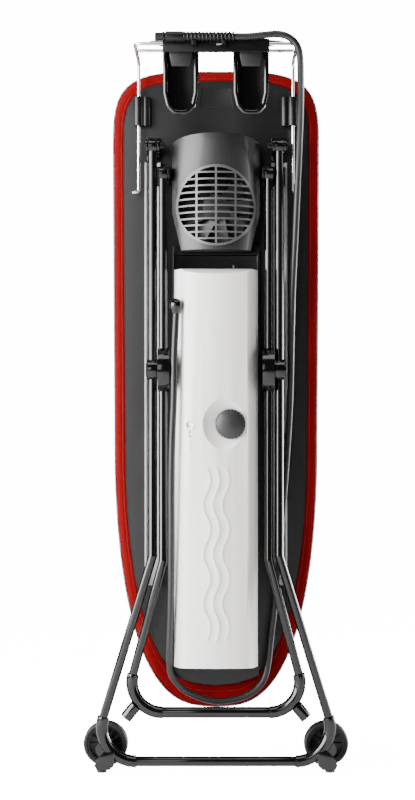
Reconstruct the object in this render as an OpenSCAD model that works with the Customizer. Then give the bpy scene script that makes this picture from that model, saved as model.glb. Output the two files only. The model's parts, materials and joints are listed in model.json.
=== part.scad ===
// Ironing system with a built-in steam generator and blower, folded and parked on its wheels.
// X runs across the board, Y from the legs to the cover, Z up; the floor is Z = 0.
// Depths ("d") are measured from the board's underside towards the legs, along -Y.

/* [View] */
// Piece to draw, or "all" for the whole assembly

/* [Board] */
// Length of the board with its cover
board_length = 1180; // [900:10:1500]
// Width of the board with its cover
board_width = 384; // [300:4:480]
// Height of the nose above the floor when parked
nose_height = 105; // [80:5:200]
// Depth from the underside to the ironing surface
board_depth = 45; // [35:1:70]
// Cloth thickness of the cover
cover_wall = 1.5; // [1:0.5:4]
// Thickness of the felt under the cover
felt_thickness = 10; // [4:1:20]
// Sheet thickness of the steam-permeable deck
deck_sheet = 1.2; // [0.8:0.1:3]
// Width of the red border that folds onto the underside
cover_border = 21; // [10:1:40]
// How far the underside shell stands out of the board
shell_height = 6; // [3:0.5:12]
// Wall thickness of the plastic mouldings
shell_wall = 3; // [2:0.5:5]

/* [Generator] */
// Width of the white casing
casing_width = 152; // [130:2:155]
// Length of the white casing
casing_length = 720; // [600:5:800]
// Depth of the casing's crown
casing_crown = 108; // [90:1:130]
// Diameter of the pressure boiler
boiler_diameter = 72; // [50:1:80]
// Diameter of the drain knob
knob_diameter = 52; // [40:1:60]
// Diameter of the drain plug in its neck
plug_diameter = 18; // [12:1:24]
// Outward travel of the drain plug as it unscrews
plug_travel = 12; // [6:1:20]

/* [Blower] */
// Radius of the hood's round front
hood_radius = 85; // [82:1:95]
// Half width of the hood
hood_half = 80; // [76:1:82]
// Radius of the round grille
grille_radius = 73; // [60:1:75]
// Number of level grille bars
grille_bars = 11; // [7:2:15]
// Radius of the fan over its blades
fan_radius = 62; // [45:1:66]
// Number of fan blades
fan_blades = 9; // [5:1:13]
// Diameter of the motor shaft
shaft_diameter = 8; // [5:1:12]

/* [Legs] */
// Diameter of the leg tubes
tube_diameter = 16; // [12:1:17]
// Diameter of the two floor bars
bar_diameter = 20; // [16:1:24]
// Distance of the outer leg tubes from the centre
outer_leg_x = 114.8; // [110:0.1:125]
// Distance of the inner leg tubes from the centre
inner_leg_x = 96; // [90:0.5:100]
// Depth of the leg plane
leg_depth = 56; // [50:1:70]
// Diameter of the pivot discs
disc_diameter = 80; // [50:1:81]
// Diameter of the hinge pins
pin_diameter = 8; // [6:1:10]
// Diameter of the transport wheels
wheel_diameter = 82; // [60:1:100]
// Width of the transport wheels
wheel_width = 26; // [18:1:28]

/* [Rack] */
// Diameter of the chrome wire
wire_diameter = 6; // [5:0.5:8]
// Distance of the rack rods from the centre
rod_x = 142; // [138:1:150]
// Depth at which the rack's front wire lies
rack_reach = 170; // [140:5:200]
// Travel of the rack
rack_travel = 115; // [80:5:120]
// Width of one cord hook
hook_width = 63; // [50:1:70]
// Drop of one cord hook below the rest
hook_drop = 126; // [90:2:140]

/* [Cord] */
// Diameter of the steam cord
cord_diameter = 12; // [10:1:14]

/* [Fits] */
// Radial clearance of a running fit
running_fit = 0.05; // [0.02:0.01:0.1]
// Gap between pieces that only lie beside each other
side_gap = 0.4; // [0.3:0.1:1]

/* [Hidden] */

$fn = 64;
small_fn = 32;
plane_y = 75.5;

// Colours
red = [0.72, 0.05, 0.07];
white = [0.92, 0.92, 0.90];
graphite = [0.20, 0.21, 0.22];
black = [0.05, 0.05, 0.055];
steel = [0.75, 0.76, 0.78];
zinc = [0.62, 0.62, 0.60];
felt_grey = [0.75, 0.73, 0.68];
rubber = [0.08, 0.08, 0.08];

// Board
board_top = nose_height + board_length;
board_half = board_width / 2;
waist_z = nose_height + 0.42 * board_length;
shoulder_z = board_top - 155;
waist_loss = 3;
nose_cover = 43;
outline_steps = 12;
front = shell_height;

// Generator
tray_depth = 30;
casing_bottom = nose_height + 86;
casing_top = casing_bottom + casing_length;
casing_half = casing_width / 2;
crease_half = casing_half - 20;
crease_depth = casing_crown - 12;
bevel_depth = 52;
tray_half = casing_half + shell_wall;
dish_z = casing_bottom + 441;
dish_x = 20;
dish_radius = 70;
dish_offset = 52;
knob_x = 26;
knob_back = 90;
knob_front = 112;
seat_depth = knob_back - 0.5;
knob_radius = knob_diameter / 2;
plug_radius = plug_diameter / 2;
stub_radius = 5;
boiler_radius = boiler_diameter / 2;
boiler_depth = 46;
boiler_low = dish_z - 75;
boiler_high = dish_z + 130;
gland_x = -71.5;
gland_depth = 92;
gland_z = casing_top - 66;
gland_radius = 12.5;
emboss = 1.2;

// Blower
hood_axis = 15;
hood_top = board_top - 131;
hood_low = board_top - 340;
hood_taper = board_top - 270;
hood_low_half = hood_half - 17;
fan_z = board_top - 261;
bar_pitch = 2 * grille_radius / (grille_bars + 1.3);
fan_back = 36;
fan_front = 54;
shaft_radius = shaft_diameter / 2;

// Legs
tube_r = tube_diameter / 2;
bar_r = bar_diameter / 2;
hinge_z = board_top - 149;
slide_z = hinge_z - 50;
pivot_z = hinge_z - 406;
disc_r = disc_diameter / 2;
disc_gap = 0.3;
disc_half = (outer_leg_x - inner_leg_x) / 2 - disc_gap;
disc_inside = 3;
cap_r = 19;
stud_r = 13;
stud_length = 3;
outer_lean = 17;
inner_lean = 14.75;
outer_bar_z = 19;
inner_bar_z = 108;
outer_elbow_x = 145;
outer_elbow_r = 62;
inner_elbow_x = 97.2;
inner_elbow_r = 55;
elbow_tube = 11;
eye_r = 12;
eye_step = 0.6;
bend_swell = 0.15;
pin_r = pin_diameter / 2;
wheel_r = wheel_diameter / 2;
wheel_x = 203.5;
wheel_back = -12;
wheel_front = wheel_back + wheel_width;
rim_r = wheel_r - 8;
axle_r = 4;
slider_half = 18;
slide_travel = 258;
rail_in = 102;
rail_out = 131;
rail_lip = 3.5;
rail_height = 7.5;
rail_low = slide_z - slide_travel - 495;
rail_high = slide_z + 26;

// Rack
wire_r = wire_diameter / 2;
rod_depth = 18;
rack_z = board_top + 12;
sleeve_low = board_top - 106;
sleeve_high = board_top - 53;
rod_low = sleeve_low - rack_travel - 2 * wire_r - 1;
rest_thick = 4;
rest_gap = 0.3;
rest_low = rack_z + wire_r + rest_gap;
rest_top = rest_low + rest_thick;
rest_lip = 23;
rest_back = 100;
rest_front = rack_reach + 8;
rest_half = 117;
hook_x = 61.5;
hook_depth = 160;
hook_wire = 4.5;
dock_depth = 190;
dock_z = rack_z + 8;
relief_r = 8.8;
relief_start = 33;
relief_length = 90;
connector_length = 49;

// Route of the steam cord as [x, depth, z], from the gland to the ribbed relief on the rack
cord_route = [
    [-71.5, 92, 830], [-73, 92, 800], [-75, 91, 750], [-76, 88, 675], [-79, 84, 603],
    [-80.5, 79, 520], [-80.5, 75, 440], [-81, 70, 370], [-82, 65, 305], [-84, 58, 240],
    [-84.5, 51, 202], [-81, 45, 174], [-63, 39, 150], [-38, 33, 134], [0, 29, 123],
    [38, 27, 127], [68, 25, 140], [88, 24, 163], [96, 24, 195], [101, 24, 240],
    [109, 24, 308], [115, 24, 372], [120, 24, 436], [129, 24, 556], [136, 24, 675],
    [138, 32, 784], [140, 42, 880], [144, 52, 970], [147, 64, 1050], [149.5, 84, 1124],
    [150.5, 118, 1190], [149, 152, 1232], [147, 176, 1262], [143.5, 187, 1283],
    [135, 190, 1297], [121, 191, 1306], [104, 191, 1309], [80, 191, 1307],
    [56, 190, 1305], [33, 190, 1305],
];
cord_sides = 10;
cord_steps = 2;

// ---- Helpers ----

// Point from a place across the board, a depth and a height.
function at(x, d, z) = [x, plane_y - d, z];

// Unit vector along v.
function unit(v) = v / norm(v);

// Closed outline of a board-like shape: a blunt nose, straight flanks and a squared-off top.
function outline(half, waist_half, top, nose) = let (
    low = [for (k = [0 : outline_steps])
        let (a = 90 * (1 - k / outline_steps))
        [waist_half * pow(cos(a), 0.7), waist_z - (waist_z - nose) * pow(sin(a), 0.91)]],
    high = [for (k = [0 : outline_steps])
        let (a = 90 * k / outline_steps)
        [half * sqrt(cos(a)), shoulder_z + (top - shoulder_z) * sqrt(sin(a))]],
    right = concat(low, high)
) concat(right, [for (k = [len(right) - 2 : -1 : 1]) [-right[k][0], right[k][1]]]);

// Outline of the covered board, drawn in by a margin.
function board_edge(inset) = outline(
    board_half - inset, board_half - waist_loss - inset, board_top - inset, nose_height + inset);

// Outline of the underside shell, drawn in by a margin.
function base_edge(inset) = board_edge_with_nose(cover_border + inset, nose_cover + inset);

// Board outline with its own margin at the nose.
function board_edge_with_nose(side, nose) = outline(
    board_half - side, board_half - waist_loss - side, board_top - side, nose_height + nose);

// Point on a smooth curve through b and c.
function curve(a, b, c, d, t) = 0.5 * (2 * b + (c - a) * t
    + (2 * a - 5 * b + 4 * c - d) * t * t + (3 * b - a - 3 * c + d) * t * t * t);

// Places an outline drawn as [x, z] between two depths.
module slab(d0, d1) {
    translate([0, plane_y - d0, 0])
        rotate([90, 0, 0])
            linear_extrude(height = d1 - d0)
                children();
}

// Places a section drawn as [x, depth] between two heights.
module column(z0, z1) {
    translate([0, plane_y, z0])
        mirror([0, 1, 0])
            linear_extrude(height = z1 - z0)
                children();
}

// Block between two places across, two depths and two heights.
module block(x0, x1, d0, d1, z0, z1) {
    translate([x0, plane_y - d1, z0])
        cube([x1 - x0, d1 - d0, z1 - z0]);
}

// Round rod from p to q.
module rod(p, q, r) {
    v = q - p;
    translate(p)
        rotate([0, acos(v[2] / norm(v)), atan2(v[1], v[0])])
            cylinder(h = norm(v), r = r, $fn = small_fn);
}

// Disc across the board, from x0 to x1.
module disc_x(x0, x1, d, z, r) {
    translate(at(x0, d, z))
        rotate([0, 90, 0])
            cylinder(h = x1 - x0, r = r);
}

// Disc that faces the legs, between two depths.
module disc_y(d0, d1, x, z, r) {
    translate(at(x, d0, z))
        rotate([90, 0, 0])
            cylinder(h = d1 - d0, r = r);
}

// The same piece on the left (-1) or the right (1).
module sided(side) {
    mirror([side < 0 ? 1 : 0, 0, 0])
        children();
}

// ---- Board ----

module cover() {
    color(red)
        difference() {
            slab(-board_depth, 0)
                polygon(board_edge(0));
            slab(cover_wall - board_depth, -cover_wall)
                polygon(board_edge(cover_wall));
            slab(-2 * cover_wall, 1)
                polygon(base_edge(-side_gap));
        }
}

felt_back = board_depth - cover_wall - side_gap;
felt_front = felt_back - felt_thickness;
deck_back = felt_front - side_gap;
skirt_inset = cover_wall + side_gap;

module felt_pad() {
    color(felt_grey)
        slab(-felt_back, -felt_front)
            polygon(board_edge(skirt_inset));
}

module deck() {
    color(steel)
        difference() {
            slab(-deck_back, -cover_wall - side_gap)
                polygon(board_edge(skirt_inset));
            slab(deck_sheet - deck_back, 0)
                polygon(board_edge(skirt_inset + deck_sheet));
            for (row = [0 : 7], x = [-105, -35, 35, 105])
                disc_y(-board_depth, 0, x, nose_height + 300 + 105 * row, 9, $fn = 16);
        }
}

base_back = deck_back - deck_sheet - side_gap;

module board_base() {
    color(graphite)
        difference() {
            union() {
                slab(-base_back, front / 2)
                    polygon(base_edge(0));
                slab(front / 2 - 0.1, front)
                    polygon(base_edge(shell_wall));
            }
            slab(-base_back - 1, front - shell_wall)
                polygon(base_edge(shell_wall));
            slab(front - 1, front + 1)
                polygon([[-31, board_top - 70], [31, board_top - 70],
                    [27, board_top - 34], [-27, board_top - 34]]);
            disc_y(-base_back, front + 1, 0, fan_z, fan_radius);
        }
}

// ---- Generator ----

module tray() {
    sag = 38;
    low_edge = [for (k = [-8 : 8]) let (x = tray_half * k / 8)
        [x, casing_bottom - sag + 18 * pow(x / tray_half, 2)]];
    inner = tray_half - shell_wall;
    color(black)
        difference() {
            slab(front, tray_depth)
                polygon(concat(low_edge, [[tray_half, hood_low + 12], [-tray_half, hood_low + 12]]));
            block(-inner, inner, front + shell_wall, tray_depth + 1,
                casing_bottom + shell_wall, hood_low - 4);
            disc_y(front - 1, tray_depth + 1, 0, fan_z, fan_radius + 1);
            slab(front - 1, tray_depth + 1)
                polygon(hood_edge(-side_gap));
        }
}

// Section of the casing as [x, depth], grown by a margin.
function casing_section(grow) = [
    [-casing_half - grow, tray_depth], [-casing_half - grow, bevel_depth + grow / 2],
    [-crease_half - grow / 2, crease_depth + grow], [-crease_half / 2, casing_crown - 3 + grow],
    [0, casing_crown + grow], [crease_half / 2, casing_crown - 3 + grow],
    [crease_half + grow / 2, crease_depth + grow], [casing_half + grow, bevel_depth + grow / 2],
    [casing_half + grow, tray_depth],
];

// Side view of the casing as [y, z], which slopes its two ends back.
function casing_side(grow) = [
    [plane_y, casing_bottom - grow], [plane_y - 70, casing_bottom - grow],
    [plane_y - casing_crown - 3, casing_bottom + 5 - grow],
    [plane_y - casing_crown - 3, casing_top - 12 + grow],
    [plane_y - 82, casing_top + grow], [plane_y, casing_top + grow],
];

module casing_block(grow) {
    intersection() {
        column(casing_bottom - 10, casing_top + 10)
            polygon(casing_section(grow));
        translate([-casing_half - 10, 0, 0])
            rotate([90, 0, 90])
                linear_extrude(height = casing_width + 20)
                    polygon(casing_side(grow));
    }
}

// Three rising steam lines, the plain ornament on the casing.
module steam_lines() {
    half_wave = 44;
    bow = 42;
    line = 4;
    for (x = [-17, 0, 17], k = [0 : 6]) {
        side = k % 2 == 0 ? 1 : -1;
        chord = half_wave / 2;
        back = sqrt(bow * bow - chord * chord);
        translate([x - side * back, casing_bottom + 55 + half_wave * (k + 0.5)])
            intersection() {
                difference() {
                    circle(r = bow + line / 2);
                    circle(r = bow - line / 2);
                }
                polygon([[0, 0], [side * 2 * bow, -2 * bow * chord / back],
                    [side * 2 * bow, 2 * bow * chord / back]]);
            }
    }
}

module casing() {
    color(white)
        difference() {
            union() {
                difference() {
                    casing_block(0);
                    casing_block(-shell_wall);
                    block(-casing_half + shell_wall, casing_half - shell_wall, tray_depth - 1,
                        tray_depth + 5, casing_bottom + shell_wall, casing_top - shell_wall);
                }
                intersection() {
                    casing_block(0);
                    translate(at(dish_x, casing_crown + dish_offset, dish_z))
                        sphere(r = dish_radius + shell_wall);
                }
                disc_y(seat_depth - shell_wall, seat_depth + 6, knob_x, dish_z,
                    knob_radius + shell_wall + 1);
                intersection() {
                    casing_block(emboss);
                    slab(crease_depth, casing_crown + 10)
                        steam_lines();
                }
                intersection() {
                    casing_block(emboss);
                    symbol_marks();
                }
            }
            translate(at(dish_x, casing_crown + dish_offset, dish_z))
                sphere(r = dish_radius);
            disc_y(seat_depth, casing_crown, knob_x, dish_z, knob_radius + 1);
            disc_y(tray_depth, casing_crown, knob_x, dish_z, plug_radius + 0.5);
            translate(at(gland_x, gland_depth, gland_z))
                sphere(r = gland_radius + 0.1);
            block(inlet_x - inlet_w / 2, inlet_x + inlet_w / 2, inlet_d - inlet_t / 2,
                inlet_d + inlet_t / 2, casing_top - 20, casing_top + 20);
        }
}

// Ring and two dots beside the knob.
module symbol_marks() {
    mark_x = -47;
    difference() {
        disc_y(crease_depth - 4, casing_crown + 5, mark_x, dish_z - 2, 8);
        disc_y(crease_depth - 5, casing_crown + 6, mark_x, dish_z - 2, 6.6);
    }
    for (drop = [31, 42])
        disc_y(crease_depth - 4, casing_crown + 5, mark_x, dish_z - drop, 2.2, $fn = small_fn);
}

inlet_x = 34;
inlet_d = 52;
inlet_w = 27;
inlet_t = 20;
inlet_fit = 0.2;

module mains_inlet() {
    half_w = inlet_w / 2 - inlet_fit;
    half_t = inlet_t / 2 - inlet_fit;
    color(black)
        union() {
            block(inlet_x - half_w, inlet_x + half_w, inlet_d - half_t, inlet_d + half_t,
                casing_top - 20, casing_top + 1);
            block(inlet_x - half_w - 3, inlet_x + half_w + 3, inlet_d - half_t - 3,
                inlet_d + half_t + 3, casing_top, casing_top + 3);
            rod(at(inlet_x, inlet_d, casing_top + 2), at(inlet_x, inlet_d, casing_top + 9), 5);
        }
}

module boiler() {
    neck_r = plug_radius + 4;
    color(steel)
        difference() {
            union() {
                rod(at(0, boiler_depth, boiler_low), at(0, boiler_depth, boiler_high), boiler_radius);
                disc_y(boiler_depth, knob_back - 9, knob_x, dish_z, neck_r);
                rod(at(0, boiler_depth, boiler_high - 1), at(0, boiler_depth, boiler_high + 8), 14);
                rod(at(0, boiler_depth, boiler_low - 6), at(0, boiler_depth, boiler_low + 1), 22);
            }
            rod(at(0, boiler_depth, boiler_low + 4), at(0, boiler_depth, boiler_high - 4),
                boiler_radius - shell_wall);
            disc_y(boiler_depth, knob_back, knob_x, dish_z, plug_radius + running_fit);
        }
}

module drain_plug() {
    color(zinc)
        union() {
            disc_y(boiler_depth + 14, knob_back, knob_x, dish_z, plug_radius);
            disc_y(knob_back - 1, knob_back + 13, knob_x, dish_z, stub_radius);
        }
}

module drain_knob() {
    scallops = 24;
    dome = 60;
    color(graphite)
        difference() {
            intersection() {
                disc_y(knob_back + 0.3, knob_front, knob_x, dish_z, knob_radius);
                translate(at(knob_x, knob_front - dome, dish_z))
                    sphere(r = dome);
            }
            for (k = [0 : scallops - 1])
                disc_y(knob_back, knob_front + 1, knob_x + (knob_radius + 1) * cos(15 * k),
                    dish_z + (knob_radius + 1) * sin(15 * k), 2.2, $fn = 20);
            disc_y(knob_back - 1, knob_back + 14, knob_x, dish_z, stub_radius + running_fit);
        }
}

module water_tank() {
    low = casing_bottom + 16;
    high = boiler_low - 30;
    color([0.80, 0.86, 0.90])
        difference() {
            block(-52, 52, tray_depth + 4, 84, low, high);
            block(-49.5, 49.5, tray_depth + 6.5, 81.5, low + 2.5, high - 2.5);
        }
}

module water_pump() {
    color(graphite)
        union() {
            rod(at(-34, 48, boiler_high + 20), at(-34, 48, boiler_high + 68), 14);
            rod(at(-34, 48, boiler_high + 12), at(-34, 48, boiler_high + 21), 8);
        }
}

module steam_valve() {
    color(zinc)
        union() {
            block(-14, 14, 34, 62, boiler_high + 8.2, boiler_high + 34);
            rod(at(0, 48, boiler_high + 33), at(0, 48, boiler_high + 58), 11);
        }
}

module control_board() {
    color([0.10, 0.35, 0.18])
        union() {
            block(14, 66, 34, 35.6, boiler_high + 40, casing_top - 34);
            block(20, 34, 35.5, 48, boiler_high + 50, boiler_high + 66);
            rod(at(50, 35, boiler_high + 64), at(50, 47, boiler_high + 64), 6);
        }
}

module steam_pipe() {
    turn_z = gland_z - 2;
    color(zinc)
        union() {
            rod(at(-9, 70, boiler_high + 24), at(-58, 70, turn_z), 3);
            rod(at(-9, 62, boiler_high + 24), at(-9, 71, boiler_high + 24), 3);
            rod(at(-58, 69, turn_z), at(-58, 76, turn_z), 3);
        }
}

module cord_gland() {
    color(black)
        union() {
            translate(at(gland_x, gland_depth, gland_z))
                sphere(r = gland_radius);
            rod(at(gland_x, gland_depth, cord_route[0][2]), at(gland_x, gland_depth, gland_z), 8.5);
        }
}

// ---- Blower ----

// Hood outline as [x, z], drawn in by a margin.
function hood_edge(inset) = let (
    half = hood_half - inset,
    low_half = hood_low_half - inset,
    arch = [for (k = [8 : -1 : -8]) let (x = half * k / 8)
        [x, hood_top - inset - 8 * pow(x / half, 2) - 5 * pow(x / half, 12)]]
) concat([[-low_half, hood_low + inset], [low_half, hood_low + inset], [half, hood_taper]],
    arch, [[-half, hood_taper]]);

module hood_shape(radius, inset, d0) {
    intersection() {
        slab(d0, hood_axis + radius + 1)
            polygon(hood_edge(inset));
        rod(at(0, hood_axis, hood_low - 5), at(0, hood_axis, hood_top + 5), radius, $fn = 96);
    }
}

module fan_hood() {
    color(graphite)
        difference() {
            hood_shape(hood_radius, 0, front);
            hood_shape(hood_radius - shell_wall, shell_wall, front - 1);
            disc_y(front, hood_radius + 40, 0, fan_z, grille_radius);
        }
}

module fan_grille() {
    ring_r = grille_radius - 0.1;
    ring_width = 4.5;
    color(black)
        intersection() {
            difference() {
                rod(at(0, hood_axis, hood_low - 5), at(0, hood_axis, hood_top + 5), hood_radius + 0.8);
                rod(at(0, hood_axis, hood_low - 6), at(0, hood_axis, hood_top + 6), hood_radius - 2.4);
            }
            union() {
                difference() {
                    disc_y(front, hood_radius + 40, 0, fan_z, ring_r);
                    disc_y(front - 1, hood_radius + 41, 0, fan_z, ring_r - ring_width);
                }
                intersection() {
                    disc_y(front, hood_radius + 40, 0, fan_z, ring_r - 1);
                    union() {
                        for (k = [0 : grille_bars - 1])
                            let (z = fan_z + bar_pitch * (k - (grille_bars - 1) / 2))
                            block(-ring_r, ring_r, front, hood_radius + 40, z - 1.5, z + 1.5);
                        for (x = [-35, 0, 35])
                            block(x - 1.75, x + 1.75, front, hood_radius + 40,
                                fan_z - ring_r, fan_z + ring_r);
                    }
                }
            }
        }
}

module fan_motor() {
    arm = 56;
    color(steel)
        union() {
            disc_y(front + 5, fan_back - 4, 0, fan_z, 30);
            disc_y(fan_back - 5, fan_front - 3, 0, fan_z, shaft_radius);
            for (turn = [45, -45])
                translate(at(0, front + 3, fan_z))
                    rotate([0, turn, 0])
                        cube([2 * arm + 26, 6, 12], center = true);
        }
}

module fan_rotor() {
    blade_pitch = 28;
    color(graphite)
        difference() {
            union() {
                disc_y(fan_back, fan_front, 0, fan_z, 24.5);
                for (k = [0 : fan_blades - 1])
                    translate(at(0, (fan_back + fan_front) / 2, fan_z))
                        rotate([0, 360 / fan_blades * k, 0])
                            translate([(fan_radius + 20) / 2, 0, 0])
                                rotate([blade_pitch, 0, 0])
                                    cube([fan_radius - 20, 2, 30], center = true);
            }
            disc_y(fan_back - 1, fan_front - 2.5, 0, fan_z, shaft_radius + running_fit);
        }
}

// ---- Steam cord ----

function cord_point(k) = let (p = cord_route[min(max(k, 0), len(cord_route) - 1)]) at(p[0], p[1], p[2]);

cord_last = len(cord_route) - 1;
cord_path = concat(
    [for (k = [0 : cord_last - 1], s = [0 : cord_steps - 1])
        curve(cord_point(k - 1), cord_point(k), cord_point(k + 1), cord_point(k + 2), s / cord_steps)],
    [cord_point(cord_last)]);

function cord_heading(k) = k == 0 ? [0, 0, -1]
    : k == len(cord_path) - 1 ? [-1, 0, 0]
    : unit(cord_path[k + 1] - cord_path[k - 1]);

function cord_ring(k) = let (
    across = unit(cross(cord_heading(k), [0, 1, 0])),
    up = cross(across, cord_heading(k))
) [for (s = [0 : cord_sides - 1]) let (a = 360 * s / cord_sides)
    cord_path[k] + cord_diameter / 2 * (cos(a) * across + sin(a) * up)];

module steam_cord() {
    rings = len(cord_path);
    n = cord_sides;
    color(graphite)
        polyhedron(
            points = [for (k = [0 : rings - 1]) each cord_ring(k)],
            faces = concat(
                [[for (s = [0 : n - 1]) s]],
                [[for (s = [n - 1 : -1 : 0]) (rings - 1) * n + s]],
                [for (k = [0 : rings - 2], s = [0 : n - 1])
                    [k * n + s, (k + 1) * n + s, (k + 1) * n + (s + 1) % n]],
                [for (k = [0 : rings - 2], s = [0 : n - 1])
                    [k * n + s, (k + 1) * n + (s + 1) % n, k * n + (s + 1) % n]]));
}

module cord_relief() {
    end = relief_start - relief_length;
    ribs = 15;
    color(black)
        union() {
            rod(at(relief_start, dock_depth, dock_z), at(end, dock_depth, dock_z), relief_r - 1.4);
            for (k = [0 : ribs - 1])
                disc_x(end + 6 * k, end + 6 * k + 3.6, dock_depth, dock_z, relief_r, $fn = small_fn);
        }
}

module steam_connector() {
    start = relief_start - relief_length;
    color(black)
        difference() {
            union() {
                disc_x(start - 30, start, dock_depth, dock_z, 9);
                disc_x(start - connector_length, start - 29, dock_depth, dock_z, 7);
                disc_x(start - 36, start - 32, dock_depth, dock_z, 8.2);
            }
            disc_x(start - connector_length - 1, start - 20, dock_depth, dock_z, 4);
        }
}

// ---- Rack ----

module sleeve(side) {
    lobe_x = rod_x - 14;
    color(black)
        sided(side)
            difference() {
                union() {
                    rod(at(rod_x, rod_depth, sleeve_low), at(rod_x, rod_depth, sleeve_high), 9);
                    rod(at(lobe_x, rod_depth - 3, sleeve_low), at(lobe_x, rod_depth - 3, sleeve_high), 8);
                    block(lobe_x - 3, rod_x + 3, front, rod_depth + 4, sleeve_low, sleeve_high);
                }
                rod(at(rod_x, rod_depth, sleeve_low - 1), at(rod_x, rod_depth, sleeve_high + 1),
                    wire_r + running_fit);
                block(lobe_x - 12, rod_x + 12, front - 10, front, sleeve_low - 1, sleeve_high + 1);
            }
}

module rack_rod(side) {
    color(steel)
        sided(side)
            union() {
                rod(at(rod_x, rod_depth, rod_low), at(rod_x, rod_depth, rack_z), wire_r);
                translate(at(rod_x, rod_depth, rod_low))
                    sphere(r = wire_r, $fn = small_fn);
                rod(at(rod_x, rod_depth, rod_low), at(rod_x + 12, rod_depth, rod_low), wire_r);
            }
}

module rack_arm(side) {
    color(steel)
        sided(side)
            difference() {
                union() {
                    rod(at(rod_x, rod_depth, rack_z), at(rod_x, rack_reach, rack_z), wire_r);
                    translate(at(rod_x, rod_depth, rack_z))
                        sphere(r = wire_r, $fn = small_fn);
                    translate(at(rod_x, rack_reach, rack_z))
                        sphere(r = wire_r, $fn = small_fn);
                }
                rod(at(rod_x, rod_depth, rack_z - 10), at(rod_x, rod_depth, rack_z), wire_r + 0.01);
            }
}

module rack_cross() {
    reach = rod_x - wire_r - 0.1;
    bow_depth = rest_back + 12;
    color(steel)
        for (d = [rack_reach, bow_depth])
            rod(at(-reach, d, rack_z), at(reach, d, rack_z), wire_r);
}

module rest_tray() {
    color(black)
        difference() {
            union() {
                column(rest_low, rest_top)
                    polygon([[-rest_half, rack_reach - 12], [-70, rest_front], [70, rest_front],
                        [rest_half, rack_reach - 12], [74, rest_back], [-74, rest_back]]);
                block(-rest_half + 24, rest_half - 24, rest_front - 4, rest_front,
                    rest_top - rest_lip, rest_top);
            }
            block(0, 18, rest_front - 5, rest_front + 1, rack_z - wire_r - 1, rack_z + wire_r - 2);
        }
}

module dock_clips() {
    color(black)
        for (x = [-42, 10])
            difference() {
                block(x, x + 8, rest_front, dock_depth + 6, dock_z - relief_r - 6, dock_z + 6);
                disc_x(x - 1, x + 9, dock_depth, dock_z, relief_r + 0.1);
            }
}

// Outline of a cord hook as [x, z], drawn in by a margin.
function hook_edge(inset) = let (
    x0 = hook_x - hook_width / 2 + inset,
    x1 = hook_x + hook_width / 2 - inset,
    top = rest_low,
    low = top - hook_drop + inset,
    shoulder = 22,
    cut = 12
) [[x0, top], [x0, low + shoulder + cut], [x0 + 5, low + cut], [x0 + 5 + cut, low],
    [x1 - 5 - cut, low], [x1 - 5, low + cut], [x1, low + shoulder + cut], [x1, top]];

// Cord hook: a bent rim around a thin panel.
module hook(side) {
    color(black)
        sided(side)
            union() {
                difference() {
                    slab(hook_depth - hook_wire, hook_depth + hook_wire)
                        polygon(hook_edge(0));
                    slab(hook_depth - hook_wire - 1, hook_depth + hook_wire + 1)
                        polygon(hook_edge(2 * hook_wire));
                }
                slab(hook_depth - 1.5, hook_depth + 1.5)
                    polygon(hook_edge(hook_wire));
            }
}

// ---- Leg guides ----

module rail(side) {
    base = 2;
    color(zinc)
        sided(side)
            union() {
                block(rail_in, rail_out, front, front + base, rail_low, rail_high);
                block(rail_in, rail_in + rail_lip, front + base - 0.1, front + base + rail_height,
                    rail_low, rail_high);
                block(rail_out - rail_lip, rail_out, front + base - 0.1, front + base + rail_height,
                    rail_low, rail_high);
            }
}

module slider(side) {
    lug_in = inner_leg_x - tube_r - side_gap;
    shoe_back = front + 2 + side_gap;
    shoe_front = front + 2 + rail_height;
    color(black)
        sided(side)
            union() {
                block(rail_in + rail_lip + side_gap, rail_out - rail_lip - side_gap, shoe_back,
                    shoe_front + 1, slide_z - slider_half, slide_z + slider_half);
                block(lug_in - 4, rail_out - rail_lip - side_gap, shoe_front + side_gap,
                    shoe_front + 5, slide_z - slider_half, slide_z + slider_half);
                block(lug_in - 4, lug_in, shoe_front + side_gap, leg_depth,
                    slide_z - 12, slide_z + 12);
                disc_x(lug_in - 4, lug_in, leg_depth, slide_z, 12);
                disc_x(lug_in - 0.1, inner_leg_x + tube_r, leg_depth, slide_z, pin_r);
            }
}

module bracket(side) {
    plate = 4;
    x0 = outer_leg_x - tube_r - side_gap - plate;
    x1 = outer_leg_x + tube_r + side_gap;
    color(black)
        sided(side)
            difference() {
                union() {
                    block(x0, x1 + plate, front, front + plate, hinge_z - 20, hinge_z + 22);
                    for (x = [x0, x1]) {
                        block(x, x + plate, front, leg_depth, hinge_z - 12, hinge_z + 12);
                        disc_x(x, x + plate, leg_depth, hinge_z, 12);
                    }
                }
                disc_x(x0 - 1, x1 + plate + 1, leg_depth, hinge_z, pin_r + running_fit);
            }
}

module hinge_pins() {
    x0 = outer_leg_x - tube_r - side_gap - 4;
    x1 = outer_leg_x + tube_r + side_gap + 4;
    color(steel)
        for (side = [-1, 1])
            sided(side)
                union() {
                    disc_x(x0 - 9, x1 + 0.1, leg_depth, hinge_z, pin_r);
                    disc_x(x1, x1 + 3, leg_depth, hinge_z, 7);
                    disc_x(x0 - 9, x0, leg_depth, hinge_z, 6.5);
                }
}

// ---- Legs ----

// Bent leg tube from its eye down to the elbow.
module leg_tube(x, top_z, bend_z, lean, end_z) {
    end_x = x + (bend_z - end_z) * tan(lean);
    difference() {
        union() {
            rod(at(x, leg_depth, bend_z), at(x, leg_depth, top_z), tube_r);
            translate(at(x, leg_depth, bend_z))
                sphere(r = tube_r + bend_swell, $fn = small_fn);
            rod(at(x, leg_depth, bend_z), at(end_x, leg_depth, end_z), tube_r);
            disc_x(x - tube_r + eye_step, x + tube_r - eye_step, leg_depth, top_z, eye_r);
        }
        disc_x(x - tube_r - 1, x + tube_r + 1, leg_depth, top_z, pin_r + running_fit);
    }
}

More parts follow.
